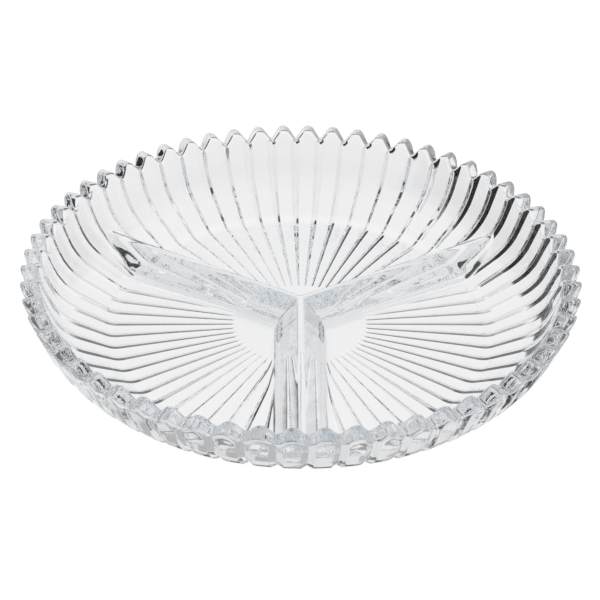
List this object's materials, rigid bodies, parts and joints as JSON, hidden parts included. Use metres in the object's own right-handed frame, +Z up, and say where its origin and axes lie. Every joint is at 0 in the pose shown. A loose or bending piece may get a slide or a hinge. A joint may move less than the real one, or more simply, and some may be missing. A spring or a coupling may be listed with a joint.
{
  "type": "divided relish tray",
  "caption": "Round, shallow tray in clear pressed glass, ribbed underneath, with a saw-tooth rim and raised dividers that part it into compartments for relishes.",
  "frame": {"origin": "on the table plane, under the middle of the divider hub", "axes": "+Z up through the middle of the tray, -Y along the front divider"},
  "size_m": [0.2564, 0.2564, 0.0413],
  "materials": {
    "clear_glass": "fire-polished pressed glass, colourless"
  },
  "bodies": {
    "root": {"plain_centre": "clear_glass", "ribbed_floor": "clear_glass", "low_wall": "clear_glass", "high_wall": "clear_glass", "rim_teeth": "clear_glass", "divider_front": "clear_glass", "divider_right": "clear_glass", "divider_left": "clear_glass", "divider_hub": "clear_glass"}
  },
  "joints": []
}
